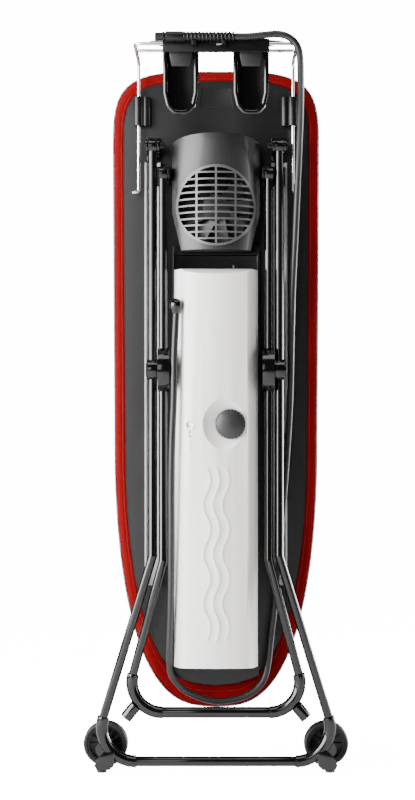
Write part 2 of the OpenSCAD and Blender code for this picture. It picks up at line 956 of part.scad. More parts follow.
// Curved plastic elbow between a leaning tube and a level bar.
module elbow(x, z, bend_r, lean) {
    translate(at(x, leg_depth, z + bend_r))
        rotate([90, 0, 0])
            rotate([0, 0, -90])
                rotate_extrude(angle = 90 + lean, $fn = 96)
                    translate([bend_r, 0])
                        circle(r = elbow_tube, $fn = small_fn);
}

// Height and place where an elbow ends.
function elbow_end_z(z, bend_r, lean) = z + bend_r + bend_r * sin(lean);

outer_end_z = elbow_end_z(outer_bar_z, outer_elbow_r, outer_lean);
inner_end_z = elbow_end_z(inner_bar_z, inner_elbow_r, inner_lean);
outer_end_x = outer_elbow_x + outer_elbow_r * cos(outer_lean);
inner_end_x = inner_elbow_x + inner_elbow_r * cos(inner_lean);
outer_bend = outer_end_z + (outer_end_x - outer_leg_x) / tan(outer_lean);
inner_bend = inner_end_z + (inner_end_x - inner_leg_x) / tan(inner_lean);

module outer_tube(side) {
    color(black)
        sided(side)
            leg_tube(outer_leg_x, hinge_z, outer_bend, outer_lean, outer_end_z);
}

module inner_tube(side) {
    color(black)
        sided(side)
            leg_tube(inner_leg_x, slide_z, inner_bend, inner_lean, inner_end_z);
}

module outer_bar() {
    color(black)
        rod(at(-outer_elbow_x, leg_depth, outer_bar_z), at(outer_elbow_x, leg_depth, outer_bar_z), 9);
}

module inner_bar() {
    color(black)
        rod(at(-inner_elbow_x, leg_depth, inner_bar_z), at(inner_elbow_x, leg_depth, inner_bar_z), bar_r);
}

foot_x = 207;
foot_height = 6;

module outer_corner(side) {
    color(black)
        sided(side)
            union() {
                elbow(outer_elbow_x, outer_bar_z, outer_elbow_r, outer_lean);
                disc_y(wheel_front + 1, leg_depth + 4, wheel_x, wheel_r, 15);
                disc_y(wheel_back - 2, wheel_front + 2, wheel_x, wheel_r, axle_r);
                slab(leg_depth - 10, leg_depth + 14)
                    polygon([[foot_x - 22, foot_height + 7], [foot_x - 14, foot_height],
                        [foot_x + 9, foot_height], [foot_x + 13, foot_height + 8],
                        [foot_x + 8, foot_height + 20], [foot_x - 4, foot_height + 32],
                        [foot_x - 24, foot_height + 32]]);
            }
}

module outer_feet() {
    color(rubber)
        for (side = [-1, 1])
            sided(side)
                translate(at(foot_x, leg_depth + 2, 0))
                    cylinder(h = foot_height, r = 9);
}

module inner_corner(side) {
    color(black)
        sided(side)
            union() {
                elbow(inner_elbow_x, inner_bar_z, inner_elbow_r, inner_lean);
                rod(at(146, leg_depth, 120), at(164, leg_depth, 98), 11);
            }
}

module outer_discs() {
    color(black)
        for (side = [-1, 1])
            sided(side)
                pivot_disc(outer_leg_x, cap_r, 0);
}

module inner_discs() {
    color(black)
        for (side = [-1, 1])
            sided(side)
                pivot_disc(inner_leg_x, disc_r, disc_inside);
}

// Round clamp around a leg tube at the crossing point.
module pivot_disc(x, r, extra) {
    difference() {
        disc_x(x - disc_half - extra, x + disc_half, leg_depth, pivot_z, r);
        rod(at(x, leg_depth, pivot_z - disc_r - 1), at(x, leg_depth, pivot_z + disc_r + 1),
            tube_r + running_fit);
    }
}

module pivot_caps() {
    start = outer_leg_x + disc_half;
    color(black)
        for (side = [-1, 1])
            sided(side)
                disc_x(start, start + stud_length, leg_depth, pivot_z, stud_r);
}

module wheel_hub(side) {
    spokes = 12;
    mid = (wheel_back + wheel_front) / 2;
    color(black)
        sided(side)
            difference() {
                union() {
                    disc_y(mid - 3, mid + 3, wheel_x, wheel_r, rim_r);
                    disc_y(wheel_back, wheel_front, wheel_x, wheel_r, 11);
                    difference() {
                        disc_y(wheel_back + 2, wheel_front - 2, wheel_x, wheel_r, rim_r);
                        disc_y(wheel_back + 1, wheel_front - 1, wheel_x, wheel_r, rim_r - 3);
                    }
                    for (k = [0 : spokes - 1])
                        translate(at(wheel_x, mid, wheel_r))
                            rotate([0, 360 / spokes * k, 0])
                                translate([rim_r / 2, 0, 0])
                                    cube([rim_r - 2, wheel_width - 8, 2.2], center = true);
                }
                disc_y(wheel_back - 1, wheel_front + 1, wheel_x, wheel_r, axle_r + running_fit);
            }
}

module tyre(side) {
    color(rubber)
        sided(side)
            translate(at(wheel_x, wheel_back + wheel_width / 2, wheel_r))
                rotate([90, 0, 0])
                    rotate_extrude($fn = 96)
                        polygon([[rim_r, -wheel_width / 2 + 1], [wheel_r - 3, -wheel_width / 2],
                            [wheel_r, -wheel_width / 2 + 4], [wheel_r, wheel_width / 2 - 4],
                            [wheel_r - 3, wheel_width / 2], [rim_r, wheel_width / 2 - 1]]);
}

// ---- Drawing ----

cover();
felt_pad();
deck();
board_base();
tray();
casing();
fan_hood();
fan_grille();
fan_motor();
fan_rotor();
boiler();
water_tank();
water_pump();
steam_valve();
control_board();
steam_pipe();
mains_inlet();
drain_plug();
drain_knob();
cord_gland();
steam_cord();
cord_relief();
steam_connector();
sleeve(-1);  // sleeve_l
sleeve(1);  // sleeve_r
rack_rod(-1);  // rack_rod_l
rack_rod(1);  // rack_rod_r
rack_arm(-1);  // rack_arm_l
rack_arm(1);  // rack_arm_r
rack_cross();
rest_tray();
dock_clips();
hook(-1);  // hook_l
hook(1);  // hook_r
rail(-1);  // rail_l
rail(1);  // rail_r
bracket(-1);  // bracket_l
bracket(1);  // bracket_r
hinge_pins();
slider(-1);  // slider_l
slider(1);  // slider_r
outer_tube(-1);  // outer_tube_l
outer_tube(1);  // outer_tube_r
outer_bar();
outer_corner(-1);  // outer_corner_l
outer_corner(1);  // outer_corner_r
outer_discs();
pivot_caps();
wheel_hub(-1);  // wheel_hub_l
wheel_hub(1);  // wheel_hub_r
tyre(-1);  // tyre_l
tyre(1);  // tyre_r
outer_feet();
inner_tube(-1);  // inner_tube_l
inner_tube(1);  // inner_tube_r
inner_bar();
inner_corner(-1);  // inner_corner_l
inner_corner(1);  // inner_corner_r
inner_discs();
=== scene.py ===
"""Visual model of a folded ironing system with a built-in steam generator.

Each sub-assembly is a class that takes its place from the CAD frame, builds its meshes and
dresses them. All sizes are in metres, with X across the board, Y from the legs to the
ironing surface and Z up.
"""

from __future__ import annotations

import json
import logging
import math
import random
from collections.abc import Iterable, Sequence
from dataclasses import dataclass, field
from enum import Enum

import bmesh
import bpy
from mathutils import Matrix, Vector

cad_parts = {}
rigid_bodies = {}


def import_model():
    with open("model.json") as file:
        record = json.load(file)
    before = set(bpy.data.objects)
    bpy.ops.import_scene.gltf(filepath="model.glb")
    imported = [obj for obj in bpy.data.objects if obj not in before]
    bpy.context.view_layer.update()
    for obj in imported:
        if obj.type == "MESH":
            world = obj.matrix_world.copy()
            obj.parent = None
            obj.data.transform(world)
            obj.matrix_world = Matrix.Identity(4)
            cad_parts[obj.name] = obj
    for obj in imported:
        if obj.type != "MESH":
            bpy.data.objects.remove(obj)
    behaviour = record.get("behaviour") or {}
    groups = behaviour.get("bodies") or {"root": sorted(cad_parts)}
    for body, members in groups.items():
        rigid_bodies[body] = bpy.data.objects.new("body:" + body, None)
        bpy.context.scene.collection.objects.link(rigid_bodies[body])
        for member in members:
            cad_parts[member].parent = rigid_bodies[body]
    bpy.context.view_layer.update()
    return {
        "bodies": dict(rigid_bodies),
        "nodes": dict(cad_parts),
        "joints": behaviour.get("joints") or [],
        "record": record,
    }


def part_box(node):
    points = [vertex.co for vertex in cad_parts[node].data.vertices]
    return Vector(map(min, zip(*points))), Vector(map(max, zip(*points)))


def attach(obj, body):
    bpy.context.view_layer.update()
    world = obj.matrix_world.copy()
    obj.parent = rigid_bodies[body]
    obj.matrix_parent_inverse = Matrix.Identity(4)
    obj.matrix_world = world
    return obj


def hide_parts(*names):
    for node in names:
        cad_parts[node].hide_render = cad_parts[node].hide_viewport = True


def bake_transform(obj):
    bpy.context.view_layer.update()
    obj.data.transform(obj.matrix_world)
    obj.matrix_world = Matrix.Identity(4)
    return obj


LOG = logging.getLogger("ironing_system")
MM = 0.001

Point = tuple[float, float, float]
Ring = list[Vector]


class Side(Enum):
    """The two sides of the board, as signs along X."""

    LEFT = -1
    RIGHT = 1


class Body(Enum):
    """The rigid bodies of the frame that new pieces ride on."""

    BOARD = "board"
    RACK = "rack"


# ---------------------------------------------------------------- shader groups


class Graph:
    """Adds nodes to one shader tree and joins them."""

    def __init__(self, tree: bpy.types.NodeTree) -> None:
        """Starts with an empty tree."""
        self.tree = tree
        tree.nodes.clear()

    def add(self, kind: str, **settings: object) -> bpy.types.Node:
        """Adds a node.

        Args:
            kind: the node's type name.
            settings: the node's attributes, or values and sockets for its inputs, by name with
                _ for space.

        Returns:
            The new node.
        """
        node = self.tree.nodes.new(kind)
        for key, value in settings.items():
            if hasattr(node, key):
                setattr(node, key, value)
            else:
                self.feed(value, node.inputs[key.replace("_", " ")])
        return node

    def join(self, source: bpy.types.NodeSocket, target: bpy.types.NodeSocket) -> None:
        """Links an output to an input."""
        self.tree.links.new(source, target)

    def feed(self, value: object, target: bpy.types.NodeSocket) -> None:
        """Links an output to an input, or sets the input to a plain value."""
        if isinstance(value, bpy.types.NodeSocket):
            self.join(value, target)
        else:
            target.default_value = value

    def math(self, operation: str, first: object, second: object = 0.0) -> bpy.types.NodeSocket:
        """Adds a Math node whose inputs are sockets or numbers, and returns its output."""
        node = self.add("ShaderNodeMath", operation=operation)
        for place, value in enumerate((first, second)):
            self.feed(value, node.inputs[place])
        return node.outputs[0]


def new_group(
    name: str, inputs: dict[str, float], outputs: Sequence[str]
) -> tuple[bpy.types.NodeTree, Graph, bpy.types.Node, bpy.types.Node]:
    """Makes an empty shader group with float sockets.

    Args:
        name: the group's name.
        inputs: each input's name and default.
        outputs: the outputs' names.

    Returns:
        The tree, its graph, and its input and output nodes.
    """
    tree = bpy.data.node_groups.new(name, "ShaderNodeTree")
    for label, default in inputs.items():
        socket = tree.interface.new_socket(label, in_out="INPUT", socket_type="NodeSocketFloat")
        socket.default_value = default
    for label in outputs:
        tree.interface.new_socket(label, in_out="OUTPUT", socket_type="NodeSocketFloat")
    graph = Graph(tree)
    return tree, graph, graph.add("NodeGroupInput"), graph.add("NodeGroupOutput")


def new_material(
    name: str, **settings: object
) -> tuple[bpy.types.Material, Graph, bpy.types.Node]:
    """Makes a material with one Principled shader, whose inputs are set by name."""
    material = bpy.data.materials.new(name)
    material.use_nodes = True
    graph = Graph(material.node_tree)
    shader = graph.add("ShaderNodeBsdfPrincipled", **settings)
    graph.add("ShaderNodeOutputMaterial", Surface=shader.outputs[0])
    return material, graph, shader


def moulded_grain_group() -> bpy.types.NodeTree:
    """Fine moulding grain, with broad mottling and thin scuffs, on Object coordinates."""
    tree, graph, given, result = new_group(
        "moulded_grain",
        {"Grain Scale": 900.0, "Mottle Scale": 14.0, "Scuff Level": 0.5},
        ("Height", "Mottle", "Scuffs"),
    )
    place = graph.add("ShaderNodeTexCoord").outputs["Object"]
    grain = graph.add("ShaderNodeTexNoise", Detail=2.0, Roughness=0.6, Vector=place,
                      Scale=given.outputs["Grain Scale"])
    mottle = graph.add("ShaderNodeTexNoise", Detail=4.0, Roughness=0.65, Vector=place,
                       Scale=given.outputs["Mottle Scale"])
    stretch = graph.add("ShaderNodeMapping", Vector=place, Scale=(90.0, 90.0, 14.0),
                        Rotation=(0.35, 0.2, 0.0))
    scuff = graph.add("ShaderNodeTexNoise", Scale=1.0, Detail=5.0, Roughness=0.7,
                      Vector=stretch.outputs[0])
    raised = graph.math("SUBTRACT", scuff.outputs["Fac"], given.outputs["Scuff Level"])
    held = graph.add("ShaderNodeClamp", Value=graph.math("MULTIPLY", raised, 7.0))
    graph.join(grain.outputs["Fac"], result.inputs["Height"])
    graph.join(mottle.outputs["Fac"], result.inputs["Mottle"])
    graph.join(held.outputs[0], result.inputs["Scuffs"])
    return tree


def plain_weave_group() -> bpy.types.NodeTree:
    """Plain weave on the cloth's own UV map: warp over weft, with uneven threads."""
    tree, graph, given, result = new_group(
        "plain_weave", {"Threads Per Metre": 1400.0}, ("Height",))
    place = graph.add("ShaderNodeUVMap", uv_map="cloth").outputs[0]
    split = graph.add("ShaderNodeSeparateXYZ", Vector=place)
    turns = graph.math("MULTIPLY", given.outputs[0], math.pi)
    warp = graph.math("SINE", graph.math("MULTIPLY", split.outputs[0], turns))
    weft = graph.math("SINE", graph.math("MULTIPLY", split.outputs[1], turns))
    crossed = graph.math("ABSOLUTE", graph.math("MULTIPLY", warp, weft))
    slub = graph.add("ShaderNodeTexNoise", Scale=60.0, Detail=5.0, Roughness=0.7, Vector=place)
    graph.join(graph.math("ADD", crossed, slub.outputs["Fac"]), result.inputs["Height"])
    return tree


@dataclass
class ShaderLibrary:
    """The shared groups, built once, and the materials made from them."""

    grain: bpy.types.NodeTree = field(default_factory=moulded_grain_group)
    weave: bpy.types.NodeTree = field(default_factory=plain_weave_group)
    made: dict[str, bpy.types.Material] = field(default_factory=dict)


@dataclass(frozen=True)
class Finish:
    """A hard surface: its colour, gloss, grain and scuffs."""

    name: str
    slot: str
    color: Point
    rough: float
    rough_spread: float = 0.10
    metallic: float = 0.0
    coat: float = 0.0
    grain_scale: float = 900.0
    grain_depth: float = 0.00004
    mottling: float = 0.06
    scuffs: float = 0.0
    scuff_color: Point = (0.10, 0.10, 0.10)
    specular: float = 0.5

    def material(self, library: ShaderLibrary) -> bpy.types.Material:
        """Builds the material once and returns it.

        Args:
            library: the shared shader groups.

        Returns:
            The material.
        """
        if self.name in library.made:
            return library.made[self.name]
        material, graph, shader = new_material(
            self.name, Metallic=self.metallic, Coat_Weight=self.coat, Coat_Roughness=0.06,
            Specular_IOR_Level=self.specular)
        grain = graph.add("ShaderNodeGroup", node_tree=library.grain,
                          Grain_Scale=self.grain_scale, Scuff_Level=0.66)
        tint = graph.add("ShaderNodeMix", data_type="RGBA")
        for place, value in (
                (0, grain.outputs["Mottle"]),
                (6, (*(c * (1 - self.mottling) for c in self.color), 1)),
                (7, (*(min(1, c * (1 + self.mottling)) for c in self.color), 1))):
            graph.feed(value, tint.inputs[place])
        worn = graph.add("ShaderNodeMix", data_type="RGBA")
        for place, value in (
                (0, graph.math("MULTIPLY", grain.outputs["Scuffs"], self.scuffs)),
                (6, tint.outputs[2]), (7, (*self.scuff_color, 1))):
            graph.feed(value, worn.inputs[place])
        spread = graph.add(
            "ShaderNodeMapRange", To_Min=max(0.02, self.rough - self.rough_spread / 2),
            To_Max=self.rough + self.rough_spread / 2, Value=grain.outputs["Mottle"])
        bump = graph.add("ShaderNodeBump", Distance=self.grain_depth, Strength=0.6,
                         Height=grain.outputs["Height"])
        graph.join(worn.outputs[2], shader.inputs["Base Color"])
        graph.join(spread.outputs[0], shader.inputs["Roughness"])
        graph.join(bump.outputs[0], shader.inputs["Normal"])
        library.made[self.name] = material
        return material


@dataclass(frozen=True)
class ClothFinish:
    """Woven cloth with a soft sheen, and painted shade in the low points of its weave."""

    name: str
    slot: str
    color: Point
    # Painted shade: the darker colour that the weave's low points take, as shade between threads.
    painted_valley_shade: Point
    threads_per_metre: float = 1400.0
    sheen: float = 0.25

    def material(self, library: ShaderLibrary) -> bpy.types.Material:
        """Builds the cloth's material once and returns it."""
        if self.name in library.made:
            return library.made[self.name]
        material, graph, shader = new_material(
            self.name, Roughness=0.82, Sheen_Weight=self.sheen, Sheen_Roughness=0.4,
            Specular_IOR_Level=0.08)
        weave = graph.add("ShaderNodeGroup", node_tree=library.weave,
                          Threads_Per_Metre=self.threads_per_metre)
        # Painted shade between threads: the weave's low points take the darker colour and its high
        # points the cloth's own colour; the uneven threads add random tone.
        tint = graph.add("ShaderNodeMix", data_type="RGBA")
        for place, value in (
                (0, weave.outputs["Height"]), (6, (*self.painted_valley_shade, 1)), (7, (*self.color, 1))):
            graph.feed(value, tint.inputs[place])
        bump = graph.add("ShaderNodeBump", Distance=0.0003, Strength=0.7,
                         Height=weave.outputs["Height"])
        graph.join(tint.outputs[2], shader.inputs["Base Color"])
        graph.join(bump.outputs[0], shader.inputs["Normal"])
        library.made[self.name] = material
        return material


SHELL = Finish("graphite_shell", "shell_plastic", (0.009, 0.009, 0.0095), 0.36, scuffs=0.03,
    specular=0.30)
HOOD = Finish("graphite_gloss", "hood_plastic", (0.012, 0.012, 0.0125), 0.44, coat=0.08)
CASING = Finish(
    "white_casing", "casing_plastic", (0.82, 0.80, 0.77), 0.24, coat=0.35,
    grain_depth=0.00001, mottling=0.015, scuffs=0.03, scuff_color=(0.6, 0.58, 0.55))
BLACK = Finish("black_satin", "black_plastic", (0.003, 0.003, 0.003), 0.32, specular=0.30)
GLOSS = Finish("black_gloss", "black_gloss", (0.001, 0.001, 0.001), 0.12, coat=0.15,
    grain_depth=0.00001)
DEEP = Finish("black_panel", "black_gloss", (0.001, 0.001, 0.001), 0.22, specular=0.12)
FLAP = Finish("black_flap", "black_plastic", (0.006, 0.006, 0.006), 0.42)
ENAMEL = Finish("black_enamel", "leg_paint", (0.0012, 0.0012, 0.0012), 0.12, coat=0.12,
    grain_scale=300.0, grain_depth=0.00002, scuffs=0.06)
CHROME = Finish("polished_chrome", "chrome_wire", (0.82, 0.82, 0.84), 0.09, metallic=1.0,
    rough_spread=0.05, grain_depth=0.000004, mottling=0.02)
RAIL = Finish("plain_rail", "rail_metal", (0.45, 0.45, 0.45), 0.34, metallic=0.5)
GRILLE = Finish("grille_plastic", "black_plastic", (0.075, 0.075, 0.077), 0.38)
STEEL = Finish("brushed_boiler", "boiler_steel", (0.60, 0.60, 0.61), 0.34, metallic=1.0,
    grain_scale=260.0)
PLATED = Finish("zinc_plate", "deck_steel", (0.48, 0.49, 0.50), 0.45, metallic=1.0, scuffs=0.1)
MILKY = Finish("milky_tank", "tank_plastic", (0.72, 0.78, 0.82), 0.35)
BRASS = Finish("machined_brass", "valve_brass", (0.70, 0.50, 0.22), 0.3, metallic=1.0)
CIRCUIT = Finish("lacquered_circuit", "circuit_board", (0.05, 0.22, 0.09), 0.4, mottling=0.3)
TYRE = Finish("tyre_rubber", "tyre_rubber", (0.003, 0.003, 0.003), 0.60, grain_scale=500.0,
    grain_depth=0.00008, scuffs=0.15, scuff_color=(0.05, 0.048, 0.045))
SHEATH = Finish("cord_sheath", "cord_sheath", (0.007, 0.007, 0.0075), 0.40, grain_scale=700.0,
    grain_depth=0.00006, scuffs=0.1)
# Each cloth's second colour is painted shade for the low points of its weave.
COTTON = ClothFinish(
    "red_cotton", "cover_cloth", (0.165, 0.0004, 0.0015), (0.11, 0.0002, 0.0008), sheen=0.02)
PRESSED_FELT = ClothFinish("pressed_felt", "felt", (0.70, 0.66, 0.58), (0.58, 0.55, 0.48), 500.0)
THREAD = Finish("hem_thread", "cover_cloth", (0.34, 0.008, 0.014), 0.6)

AnyFinish = Finish | ClothFinish


# ---------------------------------------------------------------- mesh work


def new_object(name: str, data: bpy.types.ID) -> bpy.types.Object:
    """Links a new object that holds the mesh, light or camera."""
    made = bpy.data.objects.new(name, data)
    bpy.context.scene.collection.objects.link(made)
    return made


def span(node: str) -> tuple[Vector, Vector]:
    """Lowest and highest corners of a CAD node."""
    low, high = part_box(node)
    return Vector(low), Vector(high)


def dress(piece: bpy.types.Object, finish: AnyFinish, library: ShaderLibrary) -> None:
    """Gives a piece its one material.

    Args:
        piece: the piece.
        finish: the finish to use.
        library: the shared shader groups.
    """
    material = finish.material(library)
    piece.data.materials.clear()
    piece.data.materials.append(material)
    for face in piece.data.polygons:
        face.material_index = 0


def settle(
    piece: bpy.types.Object, body: str, finish: AnyFinish, library: ShaderLibrary
) -> None:
    """Dresses a piece, and gives it its body.

    Args:
        piece: the piece.
        body: the rigid body that it rides on.
        finish: the finish to use.
        library: the shared shader groups.
    """
    dress(piece, finish, library)
    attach(piece, body)
    LOG.info("%s on %s", piece.name, body)


def smooth_by_angle(mesh: bpy.types.Mesh, degrees: float) -> None:
    """Shades a mesh smoothly, apart from edges sharper than the angle."""
    mesh.shade_smooth()
    mesh.set_sharp_from_angle(angle=math.radians(degrees))


def piece_from(
    name: str, points: Sequence[Sequence[float]], faces: Sequence[Sequence[int]], degrees: float = 40
) -> bpy.types.Object:
    """Makes a piece from points and faces, with doubles merged and faces turned outwards.

    Args:
        name: the piece's name.
        points: its vertices.
        faces: its faces.
        degrees: edges sharper than this stay sharp.

    Returns:
        The new object.
    """
    mesh = bpy.data.meshes.new(name)
    mesh.from_pydata([tuple(p) for p in points], [], [tuple(f) for f in faces])
    work = bmesh.new()
    work.from_mesh(mesh)
    bmesh.ops.remove_doubles(work, verts=work.verts, dist=1e-6)
    bmesh.ops.recalc_face_normals(work, faces=work.faces)
    work.to_mesh(mesh)
    work.free()
    smooth_by_angle(mesh, degrees)
    return new_object(name, mesh)


def loft(
    name: str, rings: Sequence[Ring], closed_ends: bool = True, degrees: float = 40
) -> bpy.types.Object:
    """Joins rings of equal length into one skin.

    Args:
        name: the piece's name.
        rings: the rings, in order.
        closed_ends: whether the first and last rings are filled.
        degrees: edges sharper than this stay sharp.

    Returns:
        The new piece.
    """
    count = len(rings[0])
    points = [p for ring in rings for p in ring]
    faces = []
    for k in range(len(rings) - 1):
        for s in range(count):
            t = (s + 1) % count
            faces.append((k * count + s, k * count + t, (k + 1) * count + t, (k + 1) * count + s))
    if closed_ends:
        faces.append(tuple(range(count)))
        faces.append(tuple(range((len(rings) - 1) * count, len(rings) * count)))
    return piece_from(name, points, faces, degrees)


def rounded_path(corners: Sequence[Vector], radius: float, steps: int = 6) -> list[Vector]:
    """Rounds the inner corners of a path.

    Args:
        corners: the path's corner points.
        radius: the bend's radius.
        steps: points in each bend.

    Returns:
        The rounded path.
    """
    path = [corners[0]]
    for before, corner, after in zip(corners, corners[1:], corners[2:]):
        into, out = (before - corner).normalized(), (after - corner).normalized()
        half = into.angle(out) / 2
        setback = min(radius / math.tan(half), 0.45 * min(
            (before - corner).length, (after - corner).length))
        bend = setback * math.tan(half)
        centre = corner + (into + out).normalized() * (bend / math.sin(half))
        start, end = corner + into * setback, corner + out * setback
        for k in range(steps + 1):
            spoke = (start - centre).lerp(end - centre, k / steps)
            path.append(centre + spoke.normalized() * bend)
    path.append(corners[-1])
    return path


def tube_rings(path: Sequence[Vector], radius: float, sides: int) -> list[Ring]:
    """Rings of a round tube along a path, carried along without twisting.

    Args:
        path: the tube's centre line.
        radius: the tube's radius.
        sides: points in each ring.

    Returns:
        One ring for each path point.
    """
    rings = []
    across = None
    for k, point in enumerate(path):
        ahead = path[min(k + 1, len(path) - 1)] - path[max(k - 1, 0)]
        heading = ahead.normalized()
        if across is None:
            other = Vector((0, 1, 0)) if abs(heading.y) < 0.9 else Vector((1, 0, 0))
            across = heading.cross(other).normalized()
        across = (across - heading * across.dot(heading)).normalized()
        up = heading.cross(across)
        rings.append([
            point + radius * (math.cos(math.tau * s / sides) * across
                              + math.sin(math.tau * s / sides) * up)
            for s in range(sides)])
    return rings


def rounded_tube(
    name: str, corners: Sequence[Vector], radius: float, bend: float, sides: int = 20
) -> bpy.types.Object:
    """A round wire or tube with rounded bends and softly closed ends.

    Args:
        name: the piece's name.
        corners: the corners of its centre line.
        radius: its radius.
        bend: the radius of its bends.
        sides: points round it.

    Returns:
        The new piece.
    """
    path = rounded_path(corners, bend)
    rings = tube_rings(path, radius, sides)
    for place, step in ((0, 1), (-1, -1)):
        end, inner = path[place], path[place + step]
        outward = (end - inner).normalized()
        domes = [
            [end + (p - end) * scale + outward * (radius * push - radius * 0.4) for p in rings[place]]
            for scale, push in ((0.86, 0.25), (0.55, 0.38))]
        rings[place] = [p - outward * (radius * 0.4) for p in rings[place]]
        rings = domes[::-1] + rings if place == 0 else rings + domes
    return loft(name, rings, degrees=60)


@dataclass
class CadFinisher:
    """Turns plain CAD nodes into finished pieces with merged faces and softened edges."""

    library: ShaderLibrary
    frame: dict
    body_of: dict[str, str] = field(default_factory=dict)

    def __post_init__(self) -> None:
        """Notes which body each node belongs to."""
        for body, nodes in self.frame["record"]["behaviour"]["bodies"].items():
            for node in nodes:
                self.body_of[node] = body

    def soften(
        self, node: str, finish: AnyFinish, edge: float = 0.0006, degrees: float = 35
    ) -> bpy.types.Object:
        """Replaces a CAD node by a copy with rounded edges and its finish.

        Args:
            node: the CAD node's name.
            finish: the finish to use.
            edge: the width of the rounding, or 0 for none.
            degrees: edges sharper than this are rounded, and stay sharp where they can't be.

        Returns:
            The new piece.
        """
        mesh = self.frame["nodes"][node].data.copy()
        mesh.name = f"{node}_finished"
        work = bmesh.new()
        work.from_mesh(mesh)
        bmesh.ops.remove_doubles(work, verts=work.verts, dist=2e-5)
        bmesh.ops.dissolve_limit(
            work, angle_limit=math.radians(1.0), verts=work.verts, edges=work.edges)
        if edge:
            sharp = [
                e for e in work.edges
                if len(e.link_faces) == 2 and e.calc_face_angle(0) > math.radians(degrees)]
            bmesh.ops.bevel(
                work, geom=sharp, offset=edge, segments=2, profile=0.6, affect="EDGES",
                clamp_overlap=True)
        bmesh.ops.triangulate(work, faces=[f for f in work.faces if len(f.verts) > 4])
        work.to_mesh(mesh)
        work.free()
        smooth_by_angle(mesh, degrees)
        piece = new_object(mesh.name, mesh)
        settle(piece, self.body_of[node], finish, self.library)
        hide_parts(node)
        return piece


# ---------------------------------------------------------------- geometry nodes


class NodeBuilder:
    """Builds a Geometry Nodes tree, runs it on an object and keeps the plain mesh."""

    def __init__(self, name: str, sizes: dict[str, float]) -> None:
        """Makes a tree with a geometry input, named sizes and a geometry output.

        Args:
            name: the tree's name.
            sizes: each size input's name and value.
        """
        self.tree = bpy.data.node_groups.new(name, "GeometryNodeTree")
        face = self.tree.interface
        face.new_socket("Geometry", in_out="INPUT", socket_type="NodeSocketGeometry")
        self.sizes = sizes
        self.names = {}
        for label, value in sizes.items():
            socket = face.new_socket(label, in_out="INPUT", socket_type="NodeSocketFloat")
            socket.default_value = value
            self.names[label] = socket.identifier
        face.new_socket("Geometry", in_out="OUTPUT", socket_type="NodeSocketGeometry")
        self.graph = Graph(self.tree)
        self.given = self.graph.add("NodeGroupInput")
        self.result = self.graph.add("NodeGroupOutput")

    def copies(
        self, points: bpy.types.NodeSocket, shape: bpy.types.NodeSocket
    ) -> tuple[bpy.types.Node, bpy.types.Node]:
        """Puts a shape on every point, with its own Z along a heading.

        Args:
            points: where the copies go.
            shape: what is copied.

        Returns:
            The node that makes the copies, and the one that takes the heading.
        """
        turn = self.graph.add("FunctionNodeAlignRotationToVector", axis="Z")
        rows = self.graph.add("GeometryNodeInstanceOnPoints", Points=points, Instance=shape,
                              Rotation=turn.outputs[0])
        return rows, turn

    def close(self, geometry: bpy.types.NodeSocket, material: bpy.types.Material) -> None:
        """Ends the tree in Realize Instances and Set Material."""
        real = self.graph.add("GeometryNodeRealizeInstances", Geometry=geometry)
        painted = self.graph.add("GeometryNodeSetMaterial", Geometry=real.outputs[0], Material=material)
        self.graph.join(painted.outputs[0], self.result.inputs[0])

    def bake(self, carrier: bpy.types.Object, name: str) -> bpy.types.Object:
        """Runs the tree on a carrier, and returns the result as a plain piece.

        Args:
            carrier: the object that the tree reads, which is then removed.
            name: the new piece's name.

        Returns:
            The new piece.
        """
        modifier = carrier.modifiers.new(self.tree.name, "NODES")
        modifier.node_group = self.tree
        for label, value in self.sizes.items():
            modifier[self.names[label]] = value
        graph = bpy.context.evaluated_depsgraph_get()
        mesh = bpy.data.meshes.new_from_object(carrier.evaluated_get(graph))
        carrier.modifiers.remove(modifier)
        bpy.data.objects.remove(carrier)
        mesh.name = name
        smooth_by_angle(mesh, 40)
        return new_object(name, mesh)


def line_carrier(name: str, path: Sequence[Vector], closed: bool) -> bpy.types.Object:
    """An object of edges along a path, for a tree to follow."""
    edges = [(k, k + 1) for k in range(len(path) - 1)]
    if closed:
        edges.append((len(path) - 1, 0))
    mesh = bpy.data.meshes.new(name)
    mesh.from_pydata([tuple(p) for p in path], edges, [])
    return new_object(name, mesh)


def stitch_run(
    name: str, path: Sequence[Vector], pitch: float, length: float, radius: float,
    material: bpy.types.Material
) -> bpy.types.Object:
    """A row of thread stitches along a closed path.

    Args:
        name: the piece's name.
        path: the seam.
        pitch: the distance from stitch to stitch.
        length: the length of one stitch.
        radius: the thread's radius.
        material: the thread's material.

    Returns:
        The new piece.
    """
    builder = NodeBuilder(f"{name}_tree", {"Pitch": pitch, "Length": length, "Radius": radius})
    graph = builder.graph
    given = builder.given.outputs
    seam = graph.add("GeometryNodeMeshToCurve", Mesh=given["Geometry"])
    spaced = graph.add("GeometryNodeCurveToPoints", mode="LENGTH", Curve=seam.outputs[0],
                       Length=given["Pitch"])
    thread = graph.add("GeometryNodeMeshCylinder", Vertices=6, Radius=given["Radius"],
                       Depth=given["Length"])
    rows, turn = builder.copies(spaced.outputs["Points"], thread.outputs["Mesh"])
    graph.join(spaced.outputs["Tangent"], turn.inputs["Vector"])
    builder.close(rows.outputs[0], material)
    return builder.bake(line_carrier(f"{name}_path", path, True), name)


